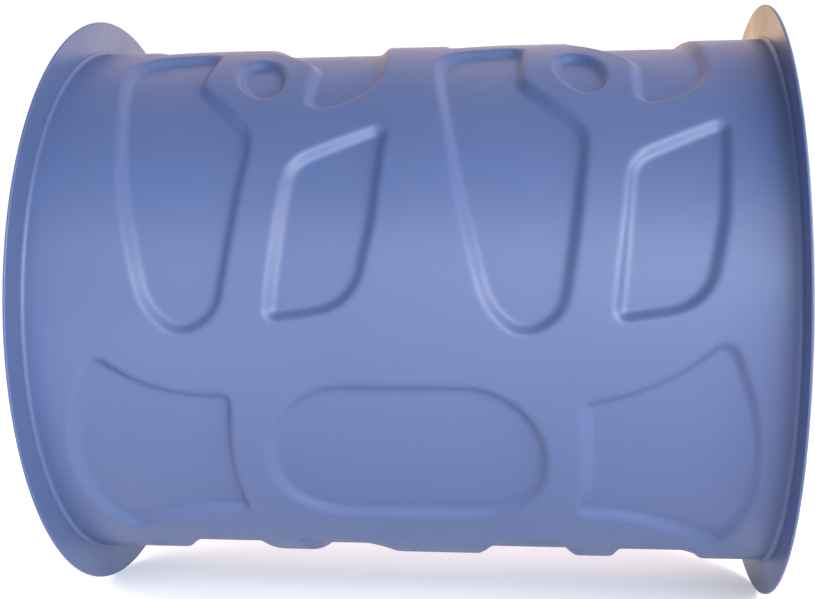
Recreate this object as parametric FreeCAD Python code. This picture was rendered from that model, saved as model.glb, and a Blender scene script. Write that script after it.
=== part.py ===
"""Rock tumbler barrel: an embossed steel drum with a rubber liner and a screw-down lid.

Millimetres. The barrel lies along X with its lid at the +X end. The origin is on the
axis, halfway along the barrel. Each piece is written to its own STEP file.
"""
import FreeCAD
import Part
import math
import os

V = FreeCAD.Vector

# Drum
R_OUT = 100.0          # outside radius of the sleeve
HALF_LENGTH = 129.0    # from the middle to the outer face of a flange
SHEET = 1.0            # steel sheet of the sleeve and its ends
R_FLANGE = 112.7
FIT = 0.05             # gap between parts that slide into each other
R_SKIRT = R_OUT - 2 * SHEET - FIT        # inside of the skirts pushed into the sleeve
SEAM_BEAD = 1.3        # leg of the seam weld bead between sleeve and flange
REAR_RECESS = 8.0      # depth of the rear end panel behind the flange face
R_WELL = 94.5          # inside radius of the lid well
WELL_FLOOR = 96.0      # x of the face of the well floor
R_OPENING = 76.0       # opening in the well floor

# Pressed panels of the sleeve
PANEL_DEPTH = 2.9
WALL_RUN = 3.2         # how far a panel wall leans in from rim to floor
OVAL_RUN = 2.0         # the same for the deeper-drawn oval
PITCH = 114.5          # from the first turned figure to the second, along X
FIGURE_X = -55.8       # middle of the first figure
FIGURE_ANGLE = 54.7
BAND_ANGLE = -33.3     # middle of the band between the figures

# Liner
R_LINER = 95.2
LINER_FLAT = 82.0      # from the axis to the flats of the eight-sided bore
LINER_REAR = 8.0
R_MOUTH = 70.0
R_NECK = 75.6
R_LIP = 84.0
LIP_TOP = 100.0

# Lid
LID_SHEET = 1.5
R_LID = 90.0
R_LID_WELL = 62.0
LID_WELL_TOP = 97.5    # front face of the lid in its middle
LID_RIM_TOP = 101.5    # front face of the lid at its rim
R_INNER_LID = 64.0
R_FACING = 66.0
R_SEAL = 69.7
BOLT_R = 5.0
BOLT_HEAD_R = 12.0
BOLT_TIP = 112.0
RIVET_CIRCLE = 36.0
RIVET_COUNT = 6

# Knob
KNOB_R = 27.0
KNOB_LOBES = 7
KNOB_BASE = 101.5
KNOB_GRIP = 104.0
KNOB_TOP = 120.0
INSERT_R = 8.0
INSERT_LENGTH = 12.0


# Bent lines. A corner is (u, v, bend radius); a line is a list of corners.

def turns(corners, closed):
    """The direction of travel into and out of every corner."""
    points = [V(u, v, 0) for u, v, bend in corners]
    count = len(points)
    result = []
    for i in range(count):
        into = (points[i] - points[i - 1]).normalize()
        out = (points[(i + 1) % count] - points[i]).normalize()
        if not closed and i == 0:
            into = out
        if not closed and i == count - 1:
            out = into
        result.append((points[i], into, out))
    return result


def shifted(corners, distance, closed=False):
    """The line moved to the left of its direction of travel, its bends kept parallel."""
    moved = []
    for (point, into, out), (u, v, bend) in zip(turns(corners, closed), corners):
        left_in = V(-into.y, into.x, 0)
        left_out = V(-out.y, out.x, 0)
        step = (left_in + left_out) * (distance / (1 + left_in.dot(left_out)))
        if bend:
            turns_left = into.cross(out).z > 0
            bend = max(0.0, bend - distance if turns_left else bend + distance)
        moved.append((point.x + step.x, point.y + step.y, bend))
    return moved


def bent_edges(corners, closed=False):
    """Straight edges and corner arcs along the line, in the XY plane."""
    edges = []
    stops = []
    for (point, into, out), (u, v, bend) in zip(turns(corners, closed), corners):
        half = into.getAngle(out) / 2
        if bend < 1e-6 or half < 1e-6:
            stops.append((point, None, point))
            continue
        reach = bend * math.tan(half)
        start = point - into * reach
        end = point + out * reach
        inward = (out - into).normalize()
        centre = point + inward * (bend / math.cos(half))
        stops.append((start, centre - inward * bend, end))
    last = len(stops) if closed else len(stops) - 1
    for i, (start, middle, end) in enumerate(stops):
        if middle is not None:
            edges.append(Part.Arc(start, middle, end).toShape())
        if i < last:
            following = stops[(i + 1) % len(stops)][0]
            if end.distanceToPoint(following) > 1e-6:
                edges.append(Part.LineSegment(end, following).toShape())
    return edges


def turned(edges):
    """The closed outline, drawn as x against radius, turned once round the X axis."""
    face = Part.Face(Part.Wire(Part.sortEdges(edges)[0]))
    return face.revolve(V(0, 0, 0), V(1, 0, 0), 360)


def turned_profile(corners):
    return turned(bent_edges(corners, closed=True))


def turned_sheet(corners, thickness):
    """Sheet of even thickness, to the left of the line, turned round the X axis."""
    other = shifted(corners, thickness)
    caps = []
    for i in (0, -1):
        a = V(corners[i][0], corners[i][1], 0)
        b = V(other[i][0], other[i][1], 0)
        caps.append(Part.LineSegment(a, b).toShape())
    return turned(bent_edges(corners) + bent_edges(other) + caps)


def disc(x0, x1, radius, hole=0.0):
    """A disc or ring square to the axis, from x0 to x1."""
    body = Part.makeCylinder(radius, x1 - x0, V(x0, 0, 0), V(1, 0, 0))
    if hole:
        body = body.cut(Part.makeCylinder(hole, x1 - x0, V(x0, 0, 0), V(1, 0, 0)))
    return body


def prism(corners, x0, x1):
    """The closed outline, drawn as y against z, pushed along X from x0 to x1."""
    face = Part.Face(Part.Wire(Part.sortEdges(bent_edges(corners, closed=True))[0]))
    face.rotate(V(0, 0, 0), V(1, 1, 1), 120)
    face.translate(V(x0, 0, 0))
    return face.extrude(V(x1 - x0, 0, 0))


def regular(sides, flat, bend=0.0):
    """Corners of a regular polygon with its flats at a given distance from the middle."""
    reach = flat / math.cos(math.pi / sides)
    corners = []
    for k in range(sides):
        angle = 2 * math.pi * (k + 0.5) / sides
        corners.append((reach * math.cos(angle), reach * math.sin(angle), bend))
    return corners


# Panel outlines on the unrolled sleeve: (x in mm, angle in degrees, corner radius).
# Angle 0 faces -Y and angles grow towards +Z.

LEAF_SIDES = [
    (-95.6, 22.0, 300), (-85.6, -1.6, 24), (-73.5, -7.2, 10), (-61.0, -2.4, 13),
    (-57.3, 12.0, 150), (-53.2, 34.4, 18), (-76.2, 49.8, 18),
]
LEAF = [(-104.8, 53.0, 70)] + LEAF_SIDES + [(-76.0, 69.5, 5), (-105.3, 65.5, 15)]
LEAF_FAR = [(-99.6, 48.4, 70)] + LEAF_SIDES + [(-76.0, 67.8, 5), (-99.6, 63.5, 22)]
KITE = [
    (-43.8, -3.6, 2.5), (-38.2, 28.0, 12), (-7.2, 36.8, 2.5), (-9.5, 16.0, 60),
    (-15.2, -1.1, 17),
]
CAPSULE = [
    (-46.0, -17.3, 27), (47.2, -17.3, 27), (47.2, -49.8, 27), (-46.0, -49.8, 27),
]
BELL_REAR = [
    (-103.5, -11.3, 3), (-83.0, -19.6, 60), (-58.0, -19.0, 2.5), (-60.5, -34.2, 150),
    (-58.0, -49.5, 2.5), (-83.0, -49.2, 60), (-104.0, -57.8, 3), (-126.0, -34.4, 74),
]
BELL_FRONT = [
    (106.0, -7.2, 4), (83.0, -17.9, 80), (60.5, -20.3, 2.5), (62.5, -34.0, 150),
    (59.5, -48.5, 2.5), (82.0, -49.0, 52), (106.5, -60.8, 3.5), (125.5, -34.5, 104),
]
OVAL_MIDDLE = (-54.9, 54.3)    # x, angle
OVAL = (7.7, 14.8, 16.0)       # half width, half height, lean in degrees
ARC_POINTS = 5


def outline(corners, grow):
    """Edges of a panel outline on the unrolled sleeve, grown outward all round."""
    flat = [(x, math.radians(angle) * R_OUT, bend) for x, angle, bend in corners]
    area = sum(a[0] * b[1] - b[0] * a[1] for a, b in zip(flat, flat[1:] + flat[:1]))
    distance = -grow if area > 0 else grow
    return bent_edges(shifted(flat, distance, closed=True), closed=True)


def oval_outline(grow):
    """Edges of the oval at the middle of a figure, as four arcs."""
    width, height, lean = OVAL
    middle = V(OVAL_MIDDLE[0], math.radians(OVAL_MIDDLE[1]) * R_OUT, 0)
    ellipse = Part.Ellipse(middle, height + grow, width + grow)
    edges = []
    for k in range(4):
        arc = Part.Arc(ellipse, k * math.pi / 2, (k + 1) * math.pi / 2).toShape()
        arc.rotate(middle, V(0, 0, 1), 90 + lean)
        edges.append(arc)
    return edges


def rolled_edges(edges, radius):
    """A flat outline rolled onto a cylinder of the given radius, edge by edge."""
    rolled = []
    for edge in edges:
        points = []
        for p in edge.discretize(Number=ARC_POINTS):
            angle = p.y / R_OUT
            points.append(V(p.x, -radius * math.cos(angle), radius * math.sin(angle)))
        curve = Part.BSplineCurve()
        curve.interpolate(Points=points)
        rolled.append(curve.toShape())
    return rolled


def panel_tool(outline_of, depth_shift, run=WALL_RUN):
    """The solid that presses one panel.

    With no depth shift it cuts the pocket in the outer skin; with a depth shift of
    one sheet it shapes the inner skin, so that the wall keeps its thickness.
    """
    slant = math.hypot(run, PANEL_DEPTH)
    lean = run / PANEL_DEPTH
    side_shift = depth_shift * (slant - run) / PANEL_DEPTH
    top = R_OUT - depth_shift
    floor = top - PANEL_DEPTH
    spare = 0.8
    wide = run / 2 + side_shift + lean * spare
    narrow = -run / 2 + side_shift - lean * spare
    high = rolled_edges(outline_of(wide), top + spare)
    low = rolled_edges(outline_of(narrow), floor - spare)
    wall = Part.makeShell([Part.makeRuledSurface(a, b) for a, b in zip(high, low)])
    middle = [edge.Vertexes[0].Point for edge in outline_of(0.0)]
    middle += [edge.discretize(Number=3)[1] for edge in outline_of(0.0)]
    angles = [math.degrees(p.y / R_OUT) for p in middle]
    along = [p.x for p in middle]
    margin = 6.0
    x0 = min(along) - margin
    length = max(along) + margin - x0
    spread = max(angles) - min(angles) + 2 * margin
    blank = Part.makeCylinder(top + spare / 2, length, V(x0, 0, 0), V(1, 0, 0), spread)
    blank = blank.cut(Part.makeCylinder(floor, length, V(x0, 0, 0), V(1, 0, 0)))
    blank.rotate(V(0, 0, 0), V(1, 0, 0), 90 - max(angles) - margin)
    pieces = blank.generalFuse([wall])[0].Solids
    return min(pieces, key=lambda piece: piece.BoundBox.DiagonalLength)


def all_panels(depth_shift):
    """Pressing tools for every panel of the sleeve."""
    radial = V(0, -math.cos(math.radians(FIGURE_ANGLE)), math.sin(math.radians(FIGURE_ANGLE)))
    middle = V(FIGURE_X, 0, 0)
    figure = [panel_tool(oval_outline, depth_shift, OVAL_RUN)]
    for near, far in ((LEAF, LEAF_FAR), (KITE, KITE)):
        figure.append(panel_tool(lambda grow: outline(near, grow), depth_shift))
        tool = panel_tool(lambda grow: outline(far, grow), depth_shift)
        figure.append(tool.rotated(middle, radial, 180))
    upper = figure + [tool.translated(V(PITCH, 0, 0)) for tool in figure]
    across = math.radians(BAND_ANGLE)
    mirror_normal = V(0, math.sin(across), math.cos(across))
    lower = [tool.mirror(V(0, 0, 0), mirror_normal) for tool in upper]
    band = []
    for corners in (CAPSULE, BELL_REAR, BELL_FRONT):
        band.append(panel_tool(lambda grow: outline(corners, grow), depth_shift))
    far_band = [tool.rotated(V(0, 0, 0), V(1, 0, 0), 180) for tool in band]
    return upper + lower + band + far_band


def make_barrel_shell():
    half = HALF_LENGTH - SHEET - FIT
    bead = SEAM_BEAD
    solid = turned_profile([
        (-half, 0, 0), (-half, R_OUT + bead, 0), (-half + bead, R_OUT, bead * 0.8),
        (half - bead, R_OUT, bead * 0.8), (half, R_OUT + bead, 0), (half, 0, 0),
    ])
    hollow = disc(-half, half, R_OUT - SHEET)
    solid = solid.cut(all_panels(0.0))
    hollow = hollow.cut(all_panels(SHEET))
    return solid.cut(hollow)


def make_flange(inner_face):
    """Flat ring against one end of the sleeve, on the side away from the middle."""
    outward = math.copysign(SHEET, inner_face)
    x0 = min(inner_face, inner_face + outward)
    return disc(x0, x0 + SHEET, R_FLANGE, R_OUT - SHEET)


def make_rear_flange():
    return make_flange(-(HALF_LENGTH - SHEET))


def make_front_flange():
    return make_flange(HALF_LENGTH - SHEET)


def make_rear_cup():
    web = -HALF_LENGTH + REAR_RECESS
    rib = web - 4.0
    return turned_sheet([
        (-HALF_LENGTH, R_SKIRT, 0), (web, R_SKIRT, 2.0),
        (web, 84, 4), (rib, 78, 4), (rib, 60, 4), (web, 54, 4),
        (web, 30, 4), (rib, 24, 4), (rib, 0, 0),
    ], SHEET)


def make_lid_collar():
    step = HALF_LENGTH - REAR_RECESS
    return turned_sheet([
        (HALF_LENGTH, R_SKIRT, 0), (step, R_SKIRT, 1.2), (step, R_WELL, 1.2),
        (WELL_FLOOR - SHEET, R_WELL, 0),
    ], -SHEET)


def make_mouth_ring():
    return disc(WELL_FLOOR - SHEET, WELL_FLOOR, R_WELL - FIT, R_OPENING)


def make_rubber_liner():
    rear = -HALF_LENGTH + REAR_RECESS + SHEET + 0.5
    shoulder = WELL_FLOOR - SHEET - 0.2
    neck_top = WELL_FLOOR + 0.2
    body = turned_profile([
        (rear, 0, 0), (rear, R_LINER, 6), (shoulder, R_LINER, 3), (shoulder, R_NECK, 0),
        (neck_top, R_NECK, 0), (neck_top, R_LIP, 1.2), (LIP_TOP, R_LIP, 1.5), (LIP_TOP, 0, 0),
    ])
    bore = prism(regular(8, LINER_FLAT, 14), rear + LINER_REAR, shoulder - 10)
    mouth = turned_profile([
        (shoulder - 10.5, 0, 0), (shoulder - 10.5, R_MOUTH, 0), (LIP_TOP - 2, R_MOUTH, 2),
        (LIP_TOP + 2, R_MOUTH + 4, 0), (LIP_TOP + 2, 0, 0),
    ])
    return body.cut(bore).cut(mouth)


def make_inner_lid_plate():
    plate = disc(80, 82, R_INNER_LID)
    half = BOLT_R + FIT
    hole = Part.makeBox(4, 2 * half, 2 * half, V(79, -half, -half))
    return plate.cut(hole)


def make_inner_lid_facing():
    return turned_profile([
        (76, 8.1, 0), (76, R_FACING, 2.5), (80, R_FACING, 0.8), (80, 7.2, 0),
        (79.1, 7.2, 0), (79.1, 8.1, 0),
    ])


def make_lid_bolt():
    stem = turned_profile([
        (70.5, 0, 0), (70.5, 7, 6), (74.2, BOLT_HEAD_R, 1.0), (76, BOLT_HEAD_R, 0.4),
        (76, BOLT_R, 0), (BOLT_TIP, BOLT_R, 1.0), (BOLT_TIP, 0, 0),
    ])
    neck = Part.makeBox(2, 2 * BOLT_R, 2 * BOLT_R, V(80, -BOLT_R, -BOLT_R))
    return stem.fuse(neck)


def make_bolt_o_ring():
    return Part.makeTorus(6.55, 1.5, V(77.55, 0, 0), V(1, 0, 0))


def make_bolt_lock_washer():
    ring = disc(82, 83, 8.6, BOLT_R + 0.2)
    gap = Part.makeBox(2, 1.2, 5, V(81.5, -0.6, 4.5))
    gap.rotate(V(82.5, 0, 7), V(0, 0, 1), 25)
    return ring.cut(gap)


def make_bolt_lock_nut():
    bottom = 83.0
    height = 5.5
    nut = prism(regular(6, 8.0), bottom, bottom + height)
    corner = 8.0 / math.cos(math.pi / 6)
    envelope = turned_profile([
        (bottom, BOLT_R + FIT, 0), (bottom, 8.2, 0), (bottom + 0.8, corner + 0.4, 0),
        (bottom + height - 0.8, corner + 0.4, 0), (bottom + height, 8.2, 0),
        (bottom + height, BOLT_R + FIT, 0),
    ])
    return nut.common(envelope)


def make_lid_seal():
    return turned_profile([
        (82, 14, 0), (82, 67.4, 1.0), (84.6, 67.4, 0.8), (85.4, R_SEAL, 1.0),
        (87.6, R_SEAL, 1.0), (88.4, 67.4, 0.8), (90.0, 67.4, 0.8), (90.8, R_SEAL, 1.0),
        (93.0, R_SEAL, 1.0), (94.2, 66.0, 1.0), (WELL_FLOOR, 61.5, 0.5), (WELL_FLOOR, 14, 0),
    ])


def make_outer_lid():
    lid = turned_sheet([
        (LID_WELL_TOP, BOLT_R + 0.4, 0), (LID_WELL_TOP, R_LID_WELL, 4),
        (LID_RIM_TOP, R_LID_WELL + 6, 4), (LID_RIM_TOP, R_LID, 2.6), (97.5, R_LID, 0),
    ], LID_SHEET)
    return lid.cut(rivet_places(disc(90, 110, 2.0 + FIT)))


def make_lid_edge_trim():
    inner = R_LID - LID_SHEET - FIT
    outer = R_LID + FIT
    return turned_profile([
        (96.3, inner - 1.4, 0.8), (96.3, outer + 1.6, 0.8), (99.6, outer + 1.2, 0.6),
        (99.6, outer, 0), (97.45, outer, 0), (97.45, inner, 0), (98.6, inner, 0),
        (98.6, inner - 1.2, 0.6),
    ])


def make_lid_doubler():
    doubler = turned_profile([
        (97.5, 16, 0), (97.5, 44, 0), (99.0, 44, 1.0), (99.0, 16, 0.6),
    ])
    return doubler.cut(rivet_places(disc(90, 110, 2.0 + FIT)))


def rivet_places(piece):
    """Copies of a piece, modelled on the axis, at every rivet position of the lid."""
    copies = []
    for k in range(RIVET_COUNT):
        angle = 2 * math.pi * k / RIVET_COUNT
        shift = V(0, RIVET_CIRCLE * math.cos(angle), RIVET_CIRCLE * math.sin(angle))
        copies.append(piece.translated(shift))
    return copies


def make_lid_rivets():
    rivet = turned_profile([
        (WELL_FLOOR, 0, 0), (WELL_FLOOR, 2.0, 0), (99.0, 2.0, 0), (99.0, 4.0, 0),
        (100.6, 2.8, 1.6), (100.6, 0, 0),
    ])
    return Part.makeCompound(rivet_places(rivet))


def make_seal_washer():
    return turned_profile([
        (LID_WELL_TOP, BOLT_R + 0.1, 0), (LID_WELL_TOP, 13, 0.5), (99.5, 13, 0.5),
        (99.5, BOLT_R + 0.1, 0),
    ])


def make_thrust_washer():
    return turned_profile([
        (99.5, BOLT_R + 0.3, 0), (99.5, 15, 0), (KNOB_BASE, 15, 0.6),
        (KNOB_BASE, BOLT_R + 0.3, 0),
    ])


def make_knob_body():
    grip = disc(KNOB_GRIP, KNOB_TOP, KNOB_R)
    for k in range(KNOB_LOBES):
        angle = 2 * math.pi * (k + 0.5) / KNOB_LOBES
        shift = V(0, 31.5 * math.cos(angle), 31.5 * math.sin(angle))
        grip = grip.cut(disc(KNOB_GRIP, KNOB_TOP, 9.0).translated(shift))
    upright = [e for e in grip.Edges if e.BoundBox.XLength > 10 and e.BoundBox.YLength < 0.01]
    upright = [e for e in upright if math.hypot(e.CenterOfMass.y, e.CenterOfMass.z) > 23]
    grip = grip.makeFillet(2.5, upright)
    rims = [e for e in grip.Edges if e.BoundBox.XLength < 0.01]
    grip = grip.makeFillet(2.0, rims)
    boss = disc(KNOB_BASE, KNOB_GRIP + 1, 12)
    bore = turned_profile([
        (KNOB_BASE - 1, 0, 0), (KNOB_BASE - 1, INSERT_R + FIT, 0),
        (KNOB_BASE + INSERT_LENGTH, INSERT_R + FIT, 0), (KNOB_BASE + INSERT_LENGTH, 6, 0),
        (KNOB_TOP - 2, 6, 0), (KNOB_TOP - 2, 11 + FIT, 0), (KNOB_TOP + 1, 11 + FIT, 0),
        (KNOB_TOP + 1, 0, 0),
    ])
    return grip.fuse(boss).removeSplitter().cut(bore)


def make_knob_insert():
    top = KNOB_BASE + INSERT_LENGTH
    return turned_profile([
        (KNOB_BASE, BOLT_R + FIT, 0), (KNOB_BASE, INSERT_R, 0.6), (105, INSERT_R, 0),
        (105.6, INSERT_R - 0.8, 0), (109.4, INSERT_R - 0.8, 0), (110, INSERT_R, 0),
        (top, INSERT_R, 0.6), (top, BOLT_R + FIT, 0),
    ])


def make_knob_cap():
    return turned_profile([
        (KNOB_TOP - 2, 0, 0), (KNOB_TOP - 2, 11, 0), (KNOB_TOP, 11, 0.8),
        (KNOB_TOP + 1.2, 5, 6), (KNOB_TOP + 1.4, 0, 0),
    ])


PARTS = {
    "barrel_shell": make_barrel_shell,
    "rear_flange": make_rear_flange,
    "rear_cup": make_rear_cup,
    "front_flange": make_front_flange,
    "lid_collar": make_lid_collar,
    "mouth_ring": make_mouth_ring,
    "rubber_liner": make_rubber_liner,
    "inner_lid_plate": make_inner_lid_plate,
    "inner_lid_facing": make_inner_lid_facing,
    "lid_bolt": make_lid_bolt,
    "bolt_o_ring": make_bolt_o_ring,
    "bolt_lock_washer": make_bolt_lock_washer,
    "bolt_lock_nut": make_bolt_lock_nut,
    "lid_seal": make_lid_seal,
    "outer_lid": make_outer_lid,
    "lid_edge_trim": make_lid_edge_trim,
    "lid_doubler": make_lid_doubler,
    "lid_rivets": make_lid_rivets,
    "seal_washer": make_seal_washer,
    "thrust_washer": make_thrust_washer,
    "knob_body": make_knob_body,
    "knob_insert": make_knob_insert,
    "knob_cap": make_knob_cap,
}

os.makedirs("parts", exist_ok=True)
for name, make in PARTS.items():
    make().exportStep("parts/" + name + ".step")
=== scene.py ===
"""Looks for the rock tumbler barrel: pressed blue drum, black rubber, zinc-plated lid parts."""
import bpy
import math
import numpy as np
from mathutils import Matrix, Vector
from mathutils.bvhtree import BVHTree


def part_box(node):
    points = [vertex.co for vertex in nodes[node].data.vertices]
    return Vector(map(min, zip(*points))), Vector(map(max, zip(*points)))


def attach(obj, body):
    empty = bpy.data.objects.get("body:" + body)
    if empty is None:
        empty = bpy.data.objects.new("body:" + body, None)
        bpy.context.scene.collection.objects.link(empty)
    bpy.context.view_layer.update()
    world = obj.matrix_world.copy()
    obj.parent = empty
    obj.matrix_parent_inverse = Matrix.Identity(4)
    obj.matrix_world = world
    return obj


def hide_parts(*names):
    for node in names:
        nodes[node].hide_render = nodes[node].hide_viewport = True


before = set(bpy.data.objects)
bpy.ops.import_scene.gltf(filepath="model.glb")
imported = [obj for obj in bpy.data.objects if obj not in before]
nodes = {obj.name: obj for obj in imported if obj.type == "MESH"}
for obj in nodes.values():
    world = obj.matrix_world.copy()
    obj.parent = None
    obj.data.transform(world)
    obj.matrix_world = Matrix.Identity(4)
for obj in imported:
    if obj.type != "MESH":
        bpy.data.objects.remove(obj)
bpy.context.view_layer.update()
MM = 0.001


# Sizes of the pressed drum, in metres. The first two come from the CAD nodes.

def span(node):
    """First and last x of a node, and its largest radius."""
    low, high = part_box(node)
    return low.x, high.x, max(high.y, high.z)


SHELL_END = span("barrel_shell")[1]
FLANGE_R = span("front_flange")[2]
SHEET = 1.0 * MM
SLEEVE_R = 100.0 * MM
PRESS_DEPTH = 2.9 * MM


# Outlines. Their corners are (x, radius, bend), and each bend becomes an arc.

ARC_STEPS = 5
SUPPORT = 0.25               # distance of a support point from its arc, in bend radii
NEAR_AXIS = 0.01             # radius in mm of an outline's ends that close on the axis
SHEET_EDGE = 0.35            # rounding of the cut edge of a sheet, in mm
LEAST_BEND = 0.05            # smallest inner bend of a sheet, in mm


def placed(corners, first_x=0.0):
    """Corners in metres, from corners in mm whose x counts from first_x, itself in metres."""
    return [(first_x + x * MM, r * MM, bend * MM) for x, r, bend in corners]


def bent(corners):
    """Points along the line, each bend rounded, with a support point beside each bend."""
    points = []
    last = len(corners) - 1
    for i, (x, r, bend) in enumerate(corners):
        here = Vector((x, r))
        if bend <= 0 or i in (0, last):
            points.append(here)
            continue
        into = (here - Vector(corners[i - 1][:2])).normalized()
        out = (Vector(corners[i + 1][:2]) - here).normalized()
        half = into.angle(out) / 2
        reach = bend * math.tan(half)
        start = here - into * reach
        end = here + out * reach
        centre = here + (out - into).normalized() * (bend / math.cos(half))
        points.append(start - into * bend * SUPPORT)
        first = math.atan2(*(start - centre).yx)
        turn = (math.atan2(*(end - centre).yx) - first + math.pi) % (2 * math.pi) - math.pi
        for k in range(ARC_STEPS + 1):
            angle = first + turn * k / ARC_STEPS
            points.append(centre + bend * Vector((math.cos(angle), math.sin(angle))))
        points.append(end + out * bend * SUPPORT)
    return points


def closed_outline(corners):
    """Points of a closed outline, every corner rounded by its own bend."""
    wrapped = [corners[-1]] + list(corners) + [corners[0]]
    return bent(wrapped)[1:-1]


def flat_ring(inner, outer, thickness, bends):
    """Corners of a flat ring in mm, with the bends of its four edges from the back inside."""
    corners = ((0, inner), (0, outer), (thickness, outer), (thickness, inner))
    return [(x, r, bend) for (x, r), bend in zip(corners, bends)]


def sheet_corners(line, thickness):
    """Corners of bent sheet in mm: the line, and the same line moved to its left."""
    other = []
    last = len(line) - 1
    for i, (x, r, bend) in enumerate(line):
        here = Vector((x, r))
        into = here - Vector(line[max(i - 1, 0)][:2])
        out = Vector(line[min(i + 1, last)][:2]) - here
        into = (into if into.length else out).normalized()
        out = (out if out.length else into).normalized()
        left_in = Vector((-into.y, into.x))
        left_out = Vector((-out.y, out.x))
        step = (left_in + left_out) * (thickness / (1 + left_in.dot(left_out)))
        if bend:
            left_turn = into.x * out.y - into.y * out.x > 0
            bend = max(LEAST_BEND, bend - thickness if left_turn else bend + thickness)
        other.append((x + step.x, r + step.y, bend))
    corners = list(line) + other[::-1]
    for i in (0, last, last + 1, len(corners) - 1):
        x, r, _ = corners[i]
        corners[i] = (x, r, SHEET_EDGE if r > NEAR_AXIS else 0)
    return corners


# Meshes

def grid_mesh(name, points, wrap_rows):
    """A mesh from an array of points, rows by columns, joined round each row."""
    rows, columns = points.shape[:2]
    row = np.arange(rows if wrap_rows else rows - 1)[:, None]
    column = np.arange(columns)[None, :]
    next_row = (row + 1) % rows
    next_column = (column + 1) % columns
    corners = [(row * columns + column).ravel(), (row * columns + next_column).ravel(),
               (next_row * columns + next_column).ravel(), (next_row * columns + column).ravel()]
    mesh = bpy.data.meshes.new(name)
    mesh.from_pydata(points.reshape(-1, 3), [], np.stack(corners, axis=1).tolist())
    mesh.shade_smooth()
    mesh.update()
    obj = bpy.data.objects.new(name, mesh)
    bpy.context.scene.collection.objects.link(obj)
    return obj


def lathe(name, points, segments, closed, radius_at=None):
    """Turns (x, radius) points once round the X axis; radius_at may vary r with the angle."""
    turn = np.linspace(0, 2 * math.pi, segments, endpoint=False)
    all_round = np.ones(segments)
    xs = np.outer([p[0] for p in points], all_round)
    rs = np.outer([p[1] for p in points], all_round)
    if radius_at is not None:
        rs = radius_at(xs, rs, turn[None, :])
    grid = np.stack([xs, rs * np.cos(turn), rs * np.sin(turn)], axis=2)
    return grid_mesh(name, grid, wrap_rows=closed)


# Materials

class Look:
    """A Principled material with small helpers for its procedural nodes."""

    def __init__(self, name, **sockets):
        self.mat = bpy.data.materials.new(name)
        self.mat.use_nodes = True
        self.tree = self.mat.node_tree
        self.shader = self.tree.nodes["Principled BSDF"]
        for key, value in sockets.items():
            self.shader.inputs[key.replace("_", " ")].default_value = value
        self.place = self.tree.nodes.new("ShaderNodeTexCoord").outputs["Object"]

    def node(self, kind, **inputs):
        """A shader node whose inputs are linked to sockets or set to values."""
        made = self.tree.nodes.new("ShaderNode" + kind)
        for key, value in inputs.items():
            socket = made.inputs[key.replace("_", " ")]
            if isinstance(value, bpy.types.NodeSocket):
                self.tree.links.new(value, socket)
            else:
                socket.default_value = value
        return made

    def noise(self, scale, detail, where=None):
        """Noise in the piece's own space, or at the place given."""
        where = where or self.place
        return self.node("TexNoise", Vector=where, Scale=scale, Detail=detail).outputs["Fac"]

    def ranged(self, value, low, high, out_low=0.0, out_high=1.0):
        """The value moved from the range low to high into the range out_low to out_high."""
        return self.node("MapRange", Value=value, From_Min=low, From_Max=high,
                         To_Min=out_low, To_Max=out_high).outputs["Result"]

    def maths(self, operation, a, b=None):
        """A maths node on a socket and on a second socket or number."""
        made = self.tree.nodes.new("ShaderNodeMath")
        made.operation = operation
        for socket, value in zip(made.inputs, (a, b)):
            if isinstance(value, bpy.types.NodeSocket):
                self.tree.links.new(value, socket)
            elif value is not None:
                socket.default_value = value
        return made.outputs["Value"]

    def use(self, key, value):
        """Links a value to an input of the shader."""
        self.tree.links.new(value, self.shader.inputs[key])

    def base(self, factor, dark, light):
        """Base colour between two shades."""
        made = self.tree.nodes.new("ShaderNodeMix")
        made.data_type = "RGBA"
        shades = {"A": dark, "B": light}
        for socket in made.inputs:
            if socket.name in shades and socket.type == "RGBA":
                socket.default_value = (*shades[socket.name], 1)
        self.tree.links.new(factor, made.inputs["Factor"])
        self.use("Base Color", [s for s in made.outputs if s.type == "RGBA"][0])

    def mottled(self, scale, detail, dark, light, low=0.3):
        """Base colour that drifts between two shades."""
        self.base(self.ranged(self.noise(scale, detail), low, 0.7), dark, light)

    def roughened(self, scale, detail, low, high):
        """Roughness that drifts between two values."""
        self.use("Roughness", self.ranged(self.noise(scale, detail), 0.3, 0.7, low, high))

    def bump(self, *layers):
        """Bump from (height, strength, distance) layers, one on top of the other."""
        normal = None
        for height, strength, distance in layers:
            made = self.node("Bump", Height=height, Strength=strength, Distance=distance)
            if normal is not None:
                self.tree.links.new(normal, made.inputs["Normal"])
            normal = made.outputs["Normal"]
        self.use("Normal", normal)

    def turned_lines(self, scale):
        """Noise that only varies along X and away from it, as fine lines left by turning."""
        split = self.node("SeparateXYZ", Vector=self.place)
        y2 = self.maths("POWER", split.outputs["Y"], 2.0)
        z2 = self.maths("POWER", split.outputs["Z"], 2.0)
        radius = self.maths("SQRT", self.maths("ADD", y2, z2))
        where = self.node("CombineXYZ", X=radius, Y=split.outputs["X"]).outputs["Vector"]
        return self.noise(scale, 3.0, where)


def paint_look():
    look = Look("blue_powder_coat", Specular_IOR_Level=0.5)
    look.mottled(9.0, 3.0, dark=(0.062, 0.096, 0.222), light=(0.068, 0.104, 0.240))
    look.roughened(60.0, 4.0, low=0.40, high=0.47)
    look.bump((look.noise(420.0, 2.0), 0.05, 0.4 * MM), (look.noise(1900.0, 1.0), 0.03, 0.1 * MM))
    return look.mat


def rubber_look(name, shade, rough):
    look = Look(name, Specular_IOR_Level=0.35)
    look.mottled(35.0, 4.0, dark=shade, light=[1.7 * c for c in shade], low=0.35)
    look.roughened(90.0, 3.0, low=rough - 0.06, high=rough + 0.06)
    look.bump((look.noise(1400.0, 2.0), 0.25, 0.3 * MM))
    return look.mat


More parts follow.
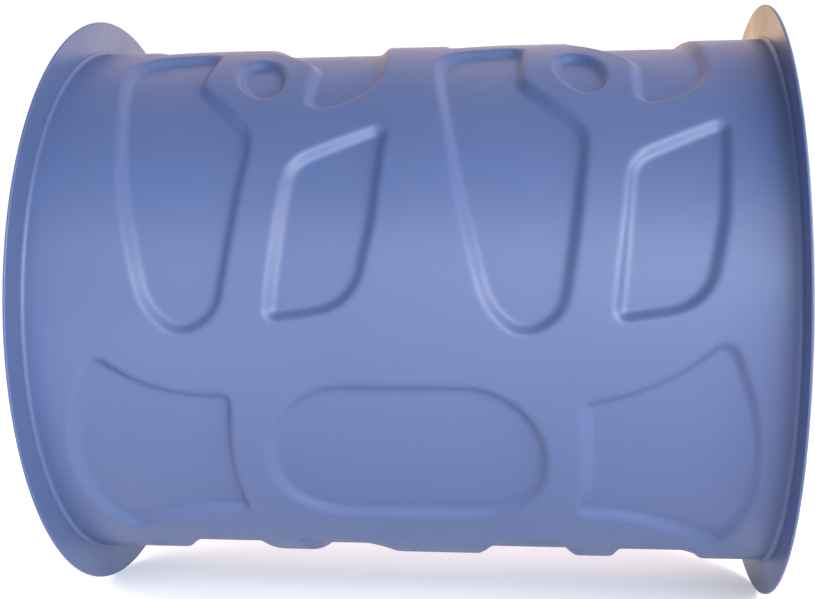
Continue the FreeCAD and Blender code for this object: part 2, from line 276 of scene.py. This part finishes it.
def metal_look(name, shade, rough, line_scale):
    """Metal with fine lines running round the X axis."""
    look = Look(name, Metallic=1.0)
    lines = look.turned_lines(line_scale)
    look.mottled(30.0, 3.0, dark=[0.9 * c for c in shade], light=shade)
    look.use("Roughness", look.ranged(lines, 0.25, 0.75, rough - 0.08, rough + 0.1))
    look.bump((lines, 0.12, 0.2 * MM))
    return look.mat


def knob_look():
    look = Look("knob_phenolic", Specular_IOR_Level=0.45)
    look.mottled(60.0, 4.0, dark=(0.012, 0.012, 0.014), light=(0.024, 0.024, 0.028))
    look.roughened(200.0, 2.0, low=0.34, high=0.46)
    look.bump((look.noise(900.0, 2.0), 0.18, 0.3 * MM))
    return look.mat


def cap_look():
    look = Look("cap_plastic", Specular_IOR_Level=0.5)
    look.mottled(80.0, 3.0, dark=(0.035, 0.070, 0.21), light=(0.040, 0.080, 0.24))
    look.roughened(150.0, 2.0, low=0.26, high=0.34)
    look.bump((look.noise(700.0, 1.0), 0.05, 0.2 * MM))
    return look.mat


LOOKS = {
    "shell_paint": paint_look(),
    "liner_rubber": rubber_look("liner_rubber", (0.016, 0.016, 0.017), 0.72),
    "seal_rubber": rubber_look("seal_rubber", (0.022, 0.022, 0.023), 0.62),
    "lid_steel": metal_look("zinc_plate", (0.36, 0.37, 0.39), 0.40, 900.0),
    "fastener_steel": metal_look("bright_zinc", (0.50, 0.50, 0.49), 0.30, 1500.0),
    "brass": metal_look("turned_brass", (0.55, 0.38, 0.14), 0.30, 1800.0),
    "knob_plastic": knob_look(),
    "cap_plastic": cap_look(),
}


def finish_piece(obj, body, slot, node):
    """Gives a piece its material and the body it rides, and hides the CAD node that it stands for.
    """
    obj.data.materials.append(LOOKS[slot])
    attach(obj, body)
    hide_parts(node)


def turned(name, node, body, slot, corners, segments, radius_at=None):
    """A turned piece from the corners of its closed section, in mm from the node's first x."""
    points = closed_outline(placed(corners, span(node)[0]))
    piece = lathe(name, points, segments, closed=True, radius_at=radius_at)
    finish_piece(piece, body, slot, node)


# The pressed sleeve. Its panels are found by measuring the CAD sleeve radially, then
# the pressed walls are given the soft edges that a press tool leaves.

SKIN_STEP = 0.8 * MM
FINE = 2                     # measurements per mesh step
INSIDE_SKIP = 3              # rows of the outside for each row of the inside
PRESS_SOFT = 0.75 * MM       # sigma of the blur that softens the pressed walls
WALL_TRIM = 0.08             # share of a wall's depth left out at its top and at its foot
RAY_GAP = 5 * MM
BEAD = 1.3 * MM              # radius of the seam bead at each flange
BEAD_STEPS = 6


def blurred(field, sigma):
    """Gaussian blur of a field that wraps round in its second direction."""
    reach = int(3 * sigma) + 1
    weights = np.exp(-0.5 * (np.arange(-reach, reach + 1) / sigma) ** 2)
    weights /= weights.sum()
    padded = np.pad(field, ((reach, reach), (0, 0)), mode="edge")
    field = sum(w * padded[i:i + field.shape[0]] for i, w in enumerate(weights))
    return sum(w * np.roll(field, reach - i, axis=1) for i, w in enumerate(weights))


def pressed_depths(xs, turns):
    """How deep the CAD sleeve is pressed at each x and angle, from 0 to 1."""
    tree = BVHTree.FromObject(nodes["barrel_shell"], bpy.context.evaluated_depsgraph_get())
    start = SLEEVE_R + RAY_GAP
    depths = np.zeros((len(xs), len(turns)))
    rays = [(math.cos(t), math.sin(t)) for t in turns]
    for i, x in enumerate(xs):
        for j, (c, s) in enumerate(rays):
            hit = tree.ray_cast(Vector((x, start * c, start * s)), Vector((0, -c, -s)))
            depths[i, j] = hit[3]
    depths = (depths - (start - SLEEVE_R)) / PRESS_DEPTH
    return np.clip((depths - WALL_TRIM) / (1 - 2 * WALL_TRIM), 0, 1)


def make_sleeve():
    """The sleeve's outside with its beads, and its inside with the same panels."""
    columns = int(round(2 * math.pi * SLEEVE_R / SKIN_STEP / 4)) * 4
    inner_end = SHELL_END - BEAD
    rows = int(round(2 * inner_end / SKIN_STEP)) + 1
    fine_x = np.linspace(-inner_end, inner_end, (rows - 1) * FINE + 1)
    fine_turn = np.linspace(0, 2 * math.pi, columns * FINE, endpoint=False)
    field = blurred(pressed_depths(fine_x, fine_turn), PRESS_SOFT / (SKIN_STEP / FINE))
    field = field[::FINE, ::FINE]
    xs = fine_x[::FINE]
    turn = fine_turn[::FINE]
    all_round = np.ones(columns)

    bead_angles = np.linspace(0, math.pi / 2, BEAD_STEPS + 1)[1:]
    bead_x = inner_end + BEAD * np.sin(bead_angles)
    bead = np.outer(SLEEVE_R + BEAD * (1 - np.cos(bead_angles)), all_round)
    outside = [bead[::-1], SLEEVE_R - PRESS_DEPTH * field, bead]

    end = np.outer([SLEEVE_R - SHEET], all_round)
    inside = [end, SLEEVE_R - SHEET - PRESS_DEPTH * field[::-INSIDE_SKIP], end]

    x = np.concatenate([-bead_x[::-1], xs, bead_x, [SHELL_END], xs[::-INSIDE_SKIP], [-SHELL_END]])
    r = np.concatenate(outside + inside)
    grid = np.stack([np.outer(x, all_round), r * np.cos(turn), r * np.sin(turn)], axis=2)
    sleeve = grid_mesh("pressed_sleeve", grid, wrap_rows=True)
    finish_piece(sleeve, "barrel", "shell_paint", "barrel_shell")


# Ends of the drum. Here and below, a size is in metres where it is written with MM, and
# in millimetres where it is a plain number for use in a list of corners.

RIM_R = 112.66               # a little inside the CAD rim, so that the box isn't passed
LIP_R = 97.95                # of the cup and the collar, where they meet the sleeve
PANEL_RISE = (4, 8)          # heights of the low and the high steps of the rear cup
WELL_R = 94.5                # of the sunk well that holds the lid


def make_ends():
    rim = flat_ring(99.05, RIM_R, 1, (0.3, 0.4, 0.4, 0.3))
    for end in ("rear", "front"):
        turned(end + "_flange_ring", end + "_flange", "barrel", "shell_paint", rim, segments=320)
    low, high = PANEL_RISE
    cup = sheet_corners([
        (0, LIP_R, 0), (high, LIP_R, 2.5), (high, 84, 4), (low, 78, 4), (low, 60, 4),
        (high, 54, 4), (high, 30, 4), (low, 24, 4), (low, 0, 0),
    ], 1.0)
    turned("rear_cup_pressing", "rear_cup", "barrel", "shell_paint", cup, segments=256)
    collar = sheet_corners([
        (0, WELL_R, 0), (26, WELL_R, 1.2), (26, LIP_R, 1.2), (34, LIP_R, 0),
    ], 1.0)
    turned("lid_collar_pressing", "lid_collar", "barrel", "shell_paint", collar, segments=256)
    mouth = flat_ring(76, 94.4, 1, (0.3, 0.1, 0.1, 0.3))
    turned("mouth_ring_plate", "mouth_ring", "barrel", "shell_paint", mouth, segments=256)


# Lids and washers

GASKET_R = 67.4
RIDGE_R = 69.7               # of the gasket's two ridges


def make_outer_lid():
    lid = sheet_corners([
        (1.5, 5.4, 0), (1.5, 62, 4), (5.5, 68, 4), (5.5, 90, 2.6), (1.5, 90, 0),
    ], 1.5)
    turned("outer_lid_pressing", "outer_lid", "outer_lid", "shell_paint", lid, segments=256)
    turned("lid_edge_rubber", "lid_edge_trim", "outer_lid", "seal_rubber", [
        (0, 87.1, 1.0), (0, 91.6, 1.2), (3.3, 91.3, 0.9), (3.3, 90.05, 0.1),
        (1.2, 90.05, 0.1), (1.2, 88.45, 0.1), (2.3, 88.45, 0.1), (2.3, 87.2, 0.6),
    ], segments=256)
    doubler = flat_ring(16, 44, 1.5, (0.1, 0.1, 0.7, 0.5))
    turned("lid_doubler_ring", "lid_doubler", "outer_lid", "lid_steel", doubler, segments=128)


def make_inner_lid():
    turned("lid_gasket", "lid_seal", "inner_lid", "seal_rubber", [
        (0, 14, 0.3), (0, GASKET_R, 1.2),
        (2.6, GASKET_R, 0.8), (3.4, RIDGE_R, 1.1), (5.6, RIDGE_R, 1.1), (6.4, GASKET_R, 0.8),
        (8.0, GASKET_R, 0.8), (8.8, RIDGE_R, 1.1), (11.0, RIDGE_R, 1.1),
        (12.2, 66.0, 1.5), (14.0, 61.5, 1.0), (14.0, 14, 0.5),
    ], segments=160)
    disc = flat_ring(5.1, 64, 2, (0.1, 0.3, 0.4, 0.1))
    turned("inner_lid_disc", "inner_lid_plate", "inner_lid", "lid_steel", disc, segments=128)
    turned("inner_lid_rubber", "inner_lid_facing", "inner_lid", "seal_rubber", [
        (0, 8.1, 0.3), (0, 66, 2.2), (4, 66, 0.8), (4, 7.2, 0.2), (3.1, 7.2, 0.1), (3.1, 8.1, 0.1),
    ], segments=128)


def make_washers():
    rubber = flat_ring(5.1, 13, 2, (0.2, 0.5, 0.5, 0.2))
    turned("seal_washer_ring", "seal_washer", "washers", "seal_rubber", rubber, segments=64)
    steel = flat_ring(5.3, 15, 2, (0.2, 0.3, 0.5, 0.2))
    turned("thrust_washer_ring", "thrust_washer", "washers", "fastener_steel", steel, segments=64)


# Knob: seven finger scallops round a moulded grip, and a cap in its middle

LOBES = 7
GRIP_R = 27.0 * MM
SCALLOP_R = 9.0 * MM
SCALLOP_PLACE = 31.5 * MM    # from the axis to the middle of a scallop
SCALLOP_SOFT = 1.0 * MM      # blend between the grip and a scallop
HUB_R = 13.0 * MM            # the scallops fade out from here inwards
FULL_R = GRIP_R - 3.5 * MM   # and are whole from here outwards


def scalloped(x, r, turn):
    """Radius of the grip with its scallops; the hub inside it stays round."""
    step = 2 * math.pi / LOBES
    off = (turn % step) - step / 2
    reach = np.maximum(SCALLOP_R ** 2 - (SCALLOP_PLACE * np.sin(off)) ** 2, 0)
    scallop = SCALLOP_PLACE * np.cos(off) - np.sqrt(reach)
    weight = np.exp(-GRIP_R / SCALLOP_SOFT) + np.exp(-scallop / SCALLOP_SOFT)
    edge = -SCALLOP_SOFT * np.log(weight)
    share = np.clip((r - HUB_R) / (FULL_R - HUB_R), 0, 1)
    return r + share * (edge - GRIP_R)


def make_knob():
    turned("knob_cap_disc", "knob_cap", "knob", "cap_plastic", [
        (0, NEAR_AXIS, 0), (0, 11, 0.2), (2, 11, 0.7), (2.3, 9.2, 0.6), (2.0, 8.2, 0.6),
        (3.2, 5, 5), (3.4, NEAR_AXIS, 0),
    ], segments=64)
    turned("knob_moulding", "knob_body", "knob", "knob_plastic", [
        (0, 8.05, 0.2), (0, 12, 0.6), (2.5, 12, 0.6), (2.5, 26.95, 2.0), (18.5, 26.95, 2.4),
        (18.5, 15.5, 1.5), (17.9, 14.5, 1.5), (17.9, 13.0, 0.8), (18.4, 12.2, 0.6),
        (18.4, 11.05, 0.1), (16.5, 11.05, 0.1), (16.5, 6, 0.1), (12, 6, 0.1), (12, 8.05, 0.1),
    ], segments=280, radius_at=scalloped)


# Bolt: domed head and a shank with a real thread

SHANK_R = 4.97
THREAD_FROM = 18.0           # where the thread starts, from the top of the head
THREAD_PITCH = 1.5 * MM
THREAD_DEPTH = 0.75 * MM
THREAD_STEPS = 8             # points in one pitch
CORE = 0.9                   # share of the shank's radius inside which nothing is cut
THREAD_FADE = 2 * MM
TIP_FADE = 0.9 * MM
TIP_CHAMFER = 0.8 * MM


def make_bolt():
    head_x, tip, _ = span("lid_bolt")
    shank = SHANK_R * MM
    points = bent(placed([
        (0, NEAR_AXIS, 0), (0.1, 7, 8), (3.8, 12, 0.8), (5.5, 12, 0.3), (5.5, SHANK_R, 0.3),
        (THREAD_FROM, SHANK_R, 0),
    ], head_x))
    thread_start = head_x + THREAD_FROM * MM
    along = np.arange(thread_start, tip - TIP_FADE, THREAD_PITCH / THREAD_STEPS)
    points += [Vector((x, shank)) for x in along[1:]]
    points += [Vector((tip - TIP_CHAMFER, shank)), Vector((tip, shank - TIP_CHAMFER)),
               Vector((tip, NEAR_AXIS * MM))]

    def threaded(x, r, turn):
        phase = ((x - thread_start) / THREAD_PITCH - turn / (2 * math.pi)) % 1
        groove = 1 - np.abs(2 * phase - 1)
        fade = np.clip((x - thread_start) / THREAD_FADE, 0, 1) * np.clip((tip - x) / TIP_FADE, 0, 1)
        return np.where(r > CORE * shank, r - THREAD_DEPTH * groove * fade, r)

    bolt = lathe("lid_bolt_threaded", points, 64, closed=False, radius_at=threaded)
    finish_piece(bolt, "inner_lid", "fastener_steel", "lid_bolt")


# Rivets of the doubler

RIVETS = 6
RIVET_CIRCLE = 36.0 * MM
RIVET_R = 2.0
RIVET_HEAD = (4.0, 1.6)      # radius and height


def make_rivets():
    foot, top, _ = span("lid_rivets")
    head_r, height = RIVET_HEAD
    section = placed([(0, NEAR_AXIS, 0), (0, RIVET_R, 0)], foot)
    section += placed([(-height, RIVET_R, 0), (-height, head_r, 0.2), (-0.1, 3.1, 1.8),
                       (0, NEAR_AXIS, 0)], top)
    for k in range(RIVETS):
        angle = 2 * math.pi * k / RIVETS
        rivet = lathe("lid_rivet_%d" % (k + 1), bent(section), 32, closed=False)
        rivet.location = (0, RIVET_CIRCLE * math.cos(angle), RIVET_CIRCLE * math.sin(angle))
        finish_piece(rivet, "outer_lid", "fastener_steel", "lid_rivets")


# Liner: moulded rubber with an eight-sided bore, and a lip folded round the mouth ring

BORE_SIDES = 8
BORE_FLAT = 82.0             # from the axis to a flat of the bore
BORE_CORNER = 1.058          # reach of a rounded corner of the bore, in flats
CORNER_CURVE = 0.35          # how fast the corner's rounding falls off beside it
LINER_R = 95.2
LINER_FLOOR = 8.0            # thickness of the rear wall
NECK_X = 84.8                # inner face of the wall round the mouth
NECK_BEND = 2.0
MOUTH_R = 70.0
ROUND_RIM = 1.0              # width of the rim round the mouth that stays round
FLAT_BLEND = 8.0             # width over which the rim turns into the flats
SLACK = 0.1                  # so that points on the border of the bore count as in it
FOLD_R = 84.0                # outer edge of the folded lip
FOLD_X = (94.8, 96.2)        # the two faces of the slot that holds the mouth ring
SLOT_R = 75.6


def make_liner():
    rear, front, _ = span("rubber_liner")
    slot_back, slot_front = FOLD_X
    section = placed([(0, NEAR_AXIS, 0), (0, LINER_R, 6)], rear)
    section += placed([(slot_back, LINER_R, 3), (slot_back, SLOT_R, 0.5),
                       (slot_front, SLOT_R, 0.5), (slot_front, FOLD_R, 1.2)])
    section += placed([(0, FOLD_R, 1.6), (0, MOUTH_R, 2.5)], front)
    section += placed([(NECK_X, MOUTH_R, NECK_BEND), (NECK_X, BORE_FLAT, 6)])
    section += placed([(LINER_FLOOR, BORE_FLAT, 9), (LINER_FLOOR, NEAR_AXIS, 0)], rear)
    bore_start = rear + (LINER_FLOOR - SLACK) * MM
    bore_end = (NECK_X + NECK_BEND - SLACK) * MM
    bore_r = (BORE_FLAT + SLACK) * MM
    round_r = (MOUTH_R + ROUND_RIM) * MM

    def eight_sided(x, r, turn):
        """Radius of the bore with its flats; everything inside the rim stays round."""
        inside = (x > bore_start) & (x < bore_end) & (r < bore_r)
        half = math.pi / BORE_SIDES
        off = np.abs((turn + half) % (2 * half) - half)
        corner = BORE_CORNER - CORNER_CURVE * (half - off) ** 2
        shape = np.minimum(1 / np.cos(off), corner)
        share = np.clip((r - round_r) / (FLAT_BLEND * MM), 0, 1) * inside
        return r * (1 + share * (shape - 1))

    liner = lathe("moulded_liner", bent(section), 256, closed=False, radius_at=eight_sided)
    finish_piece(liner, "barrel", "liner_rubber", "rubber_liner")


# Small fittings that keep their CAD mesh

CAD_LOOKS = {
    "bolt_o_ring": "seal_rubber",
    "bolt_lock_washer": "fastener_steel",
    "bolt_lock_nut": "fastener_steel",
    "knob_insert": "brass",
}


def paint_cad_nodes():
    for node, look in CAD_LOOKS.items():
        materials = nodes[node].data.materials
        materials.clear()
        materials.append(LOOKS[look])


make_sleeve()
make_ends()
make_outer_lid()
make_inner_lid()
make_washers()
make_knob()
make_bolt()
make_rivets()
make_liner()
paint_cad_nodes()


# Studio: pale floor, white surround, soft lights, camera

FLOOR_X = (-12, 12)          # reach of the floor, in metres
FLOOR_Y = (-6, 30)
FLOOR_Z = -FLANGE_R
FLOOR_GLOW = (0.9, 0.94, 1, 1)
FLOOR_GLOW_STRENGTH = 0.38
WHITE_STRENGTH = 1.05

# Round glows of the surround: azimuth and elevation in degrees, sharpness, colour
GLOWS = [
    (0, 5, 6, (1.1, 1.6, 2.0)),          # front
    (25, 5, 40, (5.0, 7.8, 11.2)),       # cool key
    (40, 5, 6, (4.5, 4.2, 3.9)),         # wide key
    (55, 5, 30, (5.3, 5.0, 2.0)),        # warm key
    (120, 5, 6, (0.8, 0.85, 1.5)),       # cool, behind at the right
    (150, 45, 6, (1.1, 0.85, 0.9)),      # above and behind, right and left
    (-150, 45, 6, (0.9, 0.76, 0.94)),
    (-155, 5, 6, (0.7, 0.42, 0.1)),      # warm, behind at the left
    (-167, 10, 30, (1.2, 0.6, 0.0)),
    (180, 16, 20, (0.5, 0.35, 0.1)),     # warm, behind
    (160, 5, 6, (0.12, 0.14, 0.2)),      # faint, behind
]

# Cards close above the floor and facing it, so that light comes up from below:
# name, x, y, width, power in watts, colour
FLOOR_CARDS = [
    ("floor_front", 0.0, -0.6, 1.2, 2.9, (1.0, 0.74, 0.56)),
    ("floor_right", 0.7, -0.3, 0.5, 6.5, (1.0, 0.89, 0.87)),
    ("floor_left", -0.7, -0.3, 0.5, 1.4, (1.0, 0.90, 1.0)),
    ("floor_back", -0.1, 0.55, 1.0, 2.0, (1.0, 0.72, 0.42)),
]
CARD_Z = 0.2
CARD_DEPTH = 0.4

# Cards that face the drum: name, place, width and height, power in watts, colour.
# The rear card stands where the rear flange shades the rest of the drum from it.
DRUM_CARDS = [
    ("rear_fill", (-0.6, -0.02, 0.03), (0.16, 0.16), 1.3, (1.0, 0.97, 0.95)),
    ("back_fill", (0.0, 0.95, 0.40), (0.7, 0.4), 0.6, (1.0, 0.90, 0.85)),
]

CAMERA_LENS = 55.5
CAMERA_SENSOR = 36.0
CAMERA_PLACE = (0.05066, -0.50534, 0.0)
CAMERA_AIM = (math.radians(90), 0, 0.1167)


def make_floor():
    (left, right), (near, far) = FLOOR_X, FLOOR_Y
    mesh = bpy.data.meshes.new("floor")
    mesh.from_pydata([(left, near, FLOOR_Z), (right, near, FLOOR_Z), (right, far, FLOOR_Z),
                      (left, far, FLOOR_Z)], [], [(0, 1, 2, 3)])
    floor = bpy.data.objects.new("floor", mesh)
    bpy.context.scene.collection.objects.link(floor)
    look = Look("floor_paper", Roughness=0.9, Emission_Color=FLOOR_GLOW,
                Emission_Strength=FLOOR_GLOW_STRENGTH)
    look.base(look.noise(3.0, 2.0), dark=(0.86, 0.86, 0.86), light=(0.88, 0.88, 0.88))
    mesh.materials.append(look.mat)


def direction(azimuth, elevation):
    """Unit vector; azimuth runs from the camera side, -Y, towards +X, in degrees."""
    across = math.radians(azimuth)
    up = math.radians(elevation)
    return (math.sin(across) * math.cos(up), -math.cos(across) * math.cos(up), math.sin(up))


def make_surround():
    """White to the camera; as a light, a sum of soft round glows."""
    world = bpy.data.worlds.new("studio")
    bpy.context.scene.world = world
    world.use_nodes = True
    tree = world.node_tree
    link = tree.links.new

    def node(kind, operation=None):
        made = tree.nodes.new("ShaderNode" + kind)
        if operation:
            made.operation = operation
        return made

    where = node("TexCoord").outputs["Generated"]
    total = None
    for azimuth, elevation, sharpness, colour in GLOWS:
        towards = node("VectorMath", "DOT_PRODUCT")
        link(where, towards.inputs[0])
        towards.inputs[1].default_value = direction(azimuth, elevation)
        ahead = node("Math", "MAXIMUM")
        link(towards.outputs["Value"], ahead.inputs[0])
        ahead.inputs[1].default_value = 0
        fall = node("Math", "POWER")
        link(ahead.outputs[0], fall.inputs[0])
        fall.inputs[1].default_value = sharpness
        tint = node("VectorMath", "SCALE")
        tint.inputs[0].default_value = colour
        link(fall.outputs[0], tint.inputs["Scale"])
        if total is None:
            total = tint.outputs[0]
            continue
        added = node("VectorMath", "ADD")
        link(total, added.inputs[0])
        link(tint.outputs[0], added.inputs[1])
        total = added.outputs[0]
    glow = tree.nodes["Background"]
    link(total, glow.inputs["Color"])
    white = node("Background")
    white.inputs["Color"].default_value = (1, 1, 1, 1)
    white.inputs["Strength"].default_value = WHITE_STRENGTH
    choose = node("MixShader")
    link(node("LightPath").outputs["Is Camera Ray"], choose.inputs["Fac"])
    link(glow.outputs[0], choose.inputs[1])
    link(white.outputs[0], choose.inputs[2])
    link(choose.outputs[0], tree.nodes["World Output"].inputs["Surface"])


def card(name, place, target, size, power, colour):
    """A rectangular light facing its target."""
    data = bpy.data.lights.new(name, "AREA")
    data.shape = "RECTANGLE"
    data.size, data.size_y = size
    data.energy = power
    data.color = colour
    light = bpy.data.objects.new(name, data)
    light.location = place
    facing = Vector(target) - Vector(place)
    light.rotation_euler = facing.to_track_quat("-Z", "Y").to_euler()
    light.visible_camera = False
    bpy.context.scene.collection.objects.link(light)


def make_cards():
    for name, x, y, width, power, colour in FLOOR_CARDS:
        card(name, (x, y, CARD_Z), (x, y, 0), (width, CARD_DEPTH), power, colour)
    for name, place, size, power, colour in DRUM_CARDS:
        card(name, place, (0, 0, 0), size, power, colour)


def make_camera():
    data = bpy.data.cameras.new("camera")
    data.lens = CAMERA_LENS
    data.sensor_width = CAMERA_SENSOR
    camera = bpy.data.objects.new("camera", data)
    camera.location = CAMERA_PLACE
    camera.rotation_euler = CAMERA_AIM
    bpy.context.scene.collection.objects.link(camera)
    bpy.context.scene.camera = camera


make_floor()
make_surround()
make_cards()
make_camera()
bpy.context.scene.view_settings.view_transform = "Standard"
